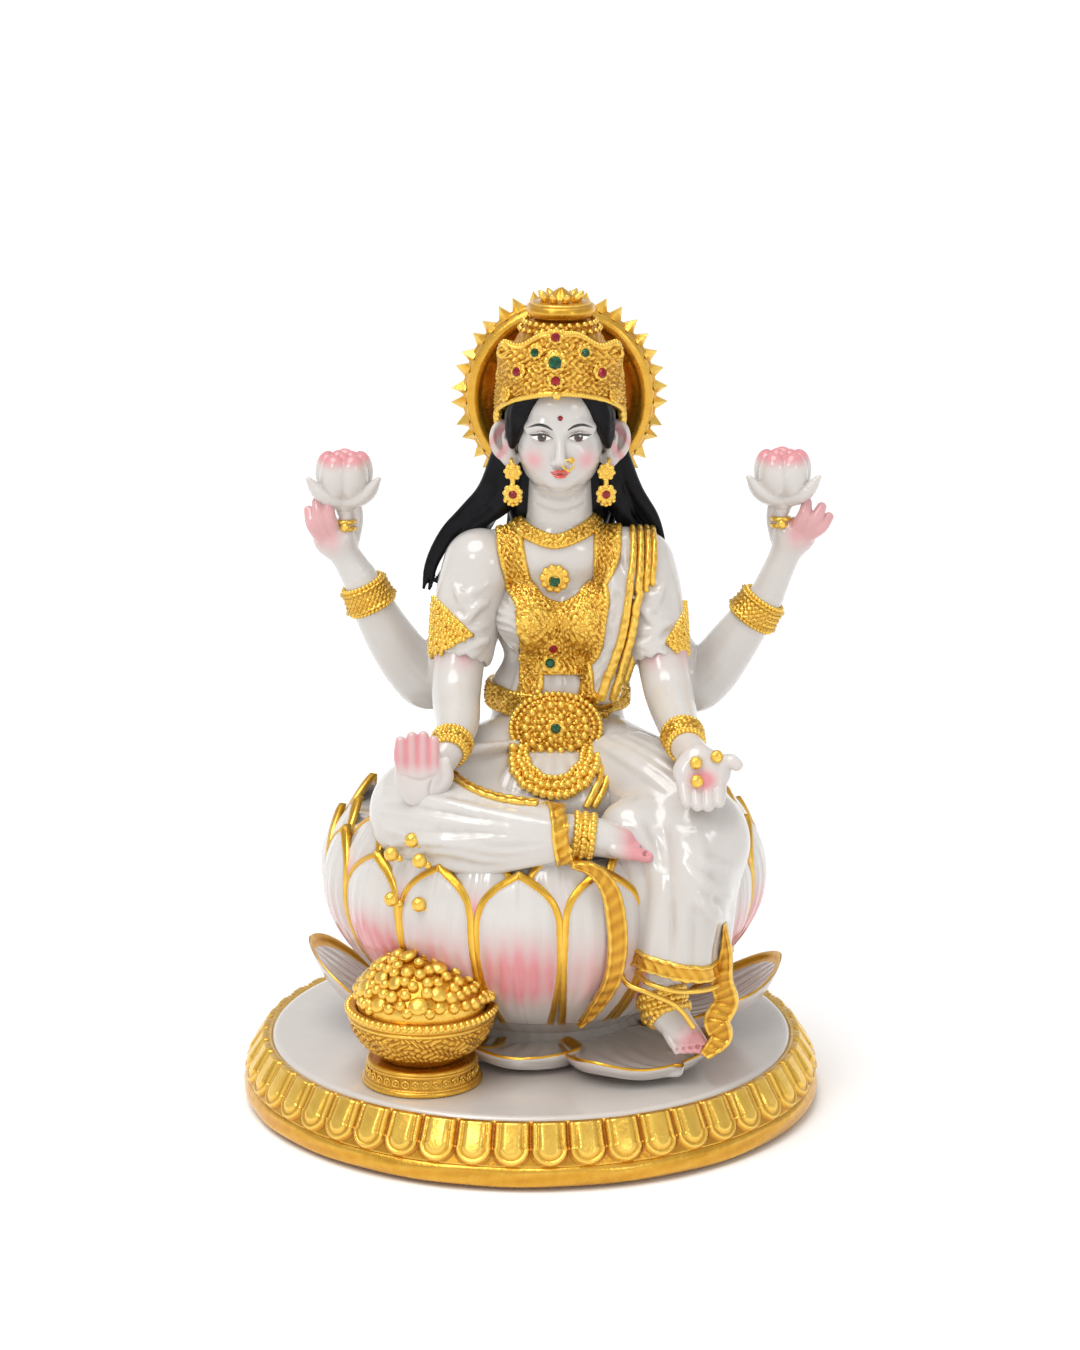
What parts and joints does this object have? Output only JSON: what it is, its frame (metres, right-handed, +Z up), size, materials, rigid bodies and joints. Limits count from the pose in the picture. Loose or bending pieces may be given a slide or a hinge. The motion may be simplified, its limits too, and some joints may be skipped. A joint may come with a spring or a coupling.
{
  "type": "hindu deity statue",
  "caption": "Seated four-armed goddess figurine on a lotus throne with a round gadrooned plinth, rayed halo, lotus buds in the raised hands and a pot of coins at the front.",
  "frame": {"origin": "centre of the flat underside of the round plinth, in the plane that rests on the surface", "axes": "+Z up along the figure's height, -Y the way the figure faces, +X to the viewer's right (the figure's own left)"},
  "size_m": [0.1434, 0.142, 0.2],
  "materials": {
    "white_resin": "glossy off-white cast stone resin, polished like marble",
    "blushed_resin": "glossy off-white cast resin with sprayed pink blush at hands, feet and cheeks",
    "tinted_petal_resin": "glossy off-white cast resin, pink airbrushed tint and gold-painted edges",
    "gold_paint": "bright gold metallic paint over cast relief, darker orange-brown in the recesses",
    "black_paint": "glossy black paint over cast waves of hair",
    "red_stone": "faceted red foil-backed stone",
    "green_stone": "faceted dark green foil-backed stone",
    "felt": "matt dark felt",
    "pin_steel": "plain turned steel"
  },
  "bodies": {
    "root": {"felt_pad": "felt", "plinth_moulding": "gold_paint", "plinth_gadroons": "gold_paint", "plinth_disc": "white_resin", "lotus_core": "white_resin", "lotus_base_petals": "tinted_petal_resin", "lotus_outer_petals": "tinted_petal_resin", "lotus_inner_petals": "tinted_petal_resin", "seat_pod": "white_resin", "pot_foot": "gold_paint", "pot_bowl": "gold_paint", "pot_coins": "gold_paint", "falling_coins": "gold_paint", "hip_drape": "white_resin", "right_leg_drape": "white_resin", "left_leg_drape": "white_resin", "left_hem_border": "gold_paint", "right_hem_border": "gold_paint", "right_foot": "blushed_resin", "left_foot": "blushed_resin", "right_anklet": "gold_paint", "left_anklet": "gold_paint", "torso": "white_resin", "shoulder_sash": "gold_paint", "belt": "gold_paint", "belt_swag": "gold_paint", "necklace": "gold_paint", "garland": "gold_paint", "pendant": "gold_paint", "right_sleeve": "white_resin", "left_sleeve": "white_resin", "sleeve_filigree": "gold_paint", "front_right_arm": "blushed_resin", "front_left_arm": "blushed_resin", "front_right_hand": "blushed_resin", "front_left_hand": "blushed_resin", "front_right_bangle": "gold_paint", "front_left_bangle": "gold_paint", "palm_coins": "gold_paint", "rear_right_arm": "blushed_resin", "rear_left_arm": "blushed_resin", "rear_right_hand": "blushed_resin", "rear_left_hand": "blushed_resin", "rear_right_bangle": "gold_paint", "rear_left_bangle": "gold_paint", "finger_rings": "gold_paint", "right_lotus_bud": "tinted_petal_resin", "left_lotus_bud": "tinted_petal_resin", "head": "blushed_resin", "hair": "black_paint", "crown": "gold_paint", "crown_cap": "gold_paint", "right_earring": "gold_paint", "left_earring": "gold_paint", "nose_ornament": "gold_paint", "halo_dish": "gold_paint", "halo_rays": "gold_paint", "red_stones": "red_stone", "green_stones": "green_stone", "assembly_pins": "pin_steel"}
  },
  "joints": []
}
